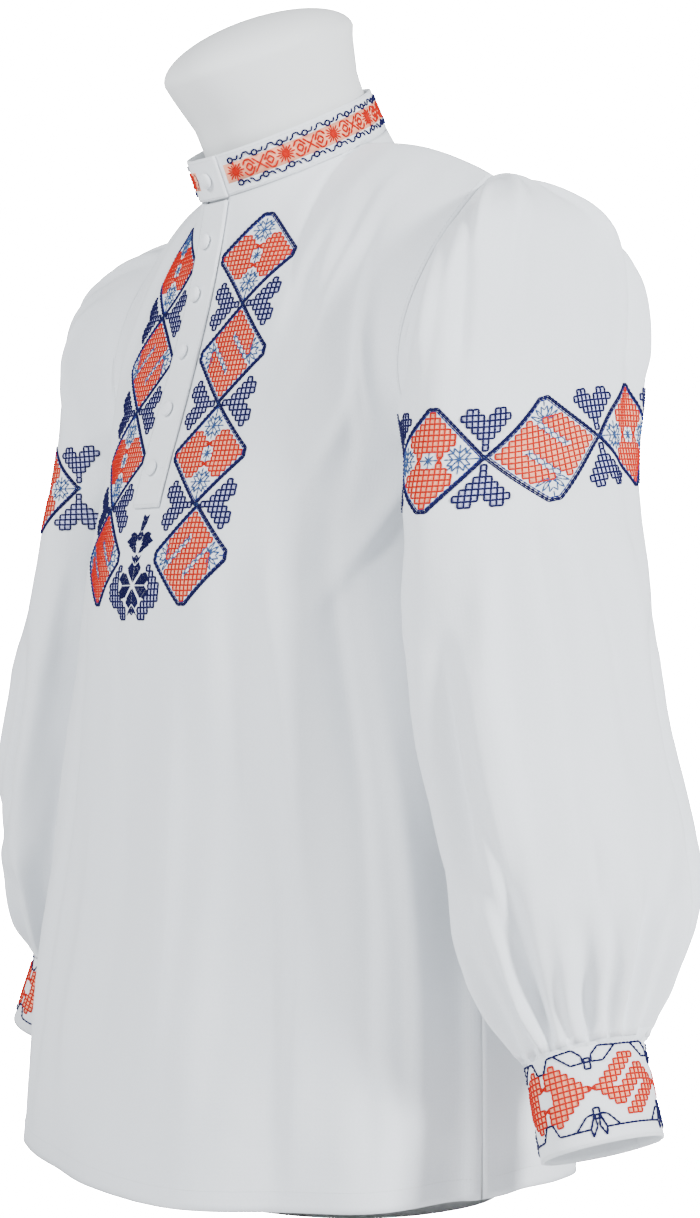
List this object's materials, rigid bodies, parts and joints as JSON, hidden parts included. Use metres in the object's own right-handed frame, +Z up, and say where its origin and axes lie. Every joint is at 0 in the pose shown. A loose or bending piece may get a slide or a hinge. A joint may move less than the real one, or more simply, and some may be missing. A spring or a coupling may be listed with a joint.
{
  "type": "embroidered folk shirt on a dress form",
  "caption": "Men's folk shirt with a stand collar, a short button placket and full sleeves gathered into cuffs, worn by a limbless dress form with a neck.",
  "frame": {"origin": "on the floor, at the middle of the bounding box: under the middle of the form's flat base", "axes": "+Z up, the garment's front faces -Y, the wearer's left is +X"},
  "size_m": [0.7324, 0.3322, 0.8428],
  "materials": {
    "cotton": "plain white cotton with counted-thread embroidery",
    "covered_button": "cloth-covered",
    "form_skin": "matte white"
  },
  "bodies": {
    "root": {"front": "cotton", "back": "cotton", "sleeve_left": "cotton", "sleeve_right": "cotton", "cuff_left": "cotton", "cuff_right": "cotton", "collar": "cotton", "placket_over": "cotton", "placket_under": "cotton", "button_collar": "covered_button", "button_1": "covered_button", "button_2": "covered_button", "button_3": "covered_button", "button_4": "covered_button", "button_5": "covered_button", "button_cuff_left": "covered_button", "button_cuff_right": "covered_button", "dress_form": "form_skin"}
  },
  "joints": []
}
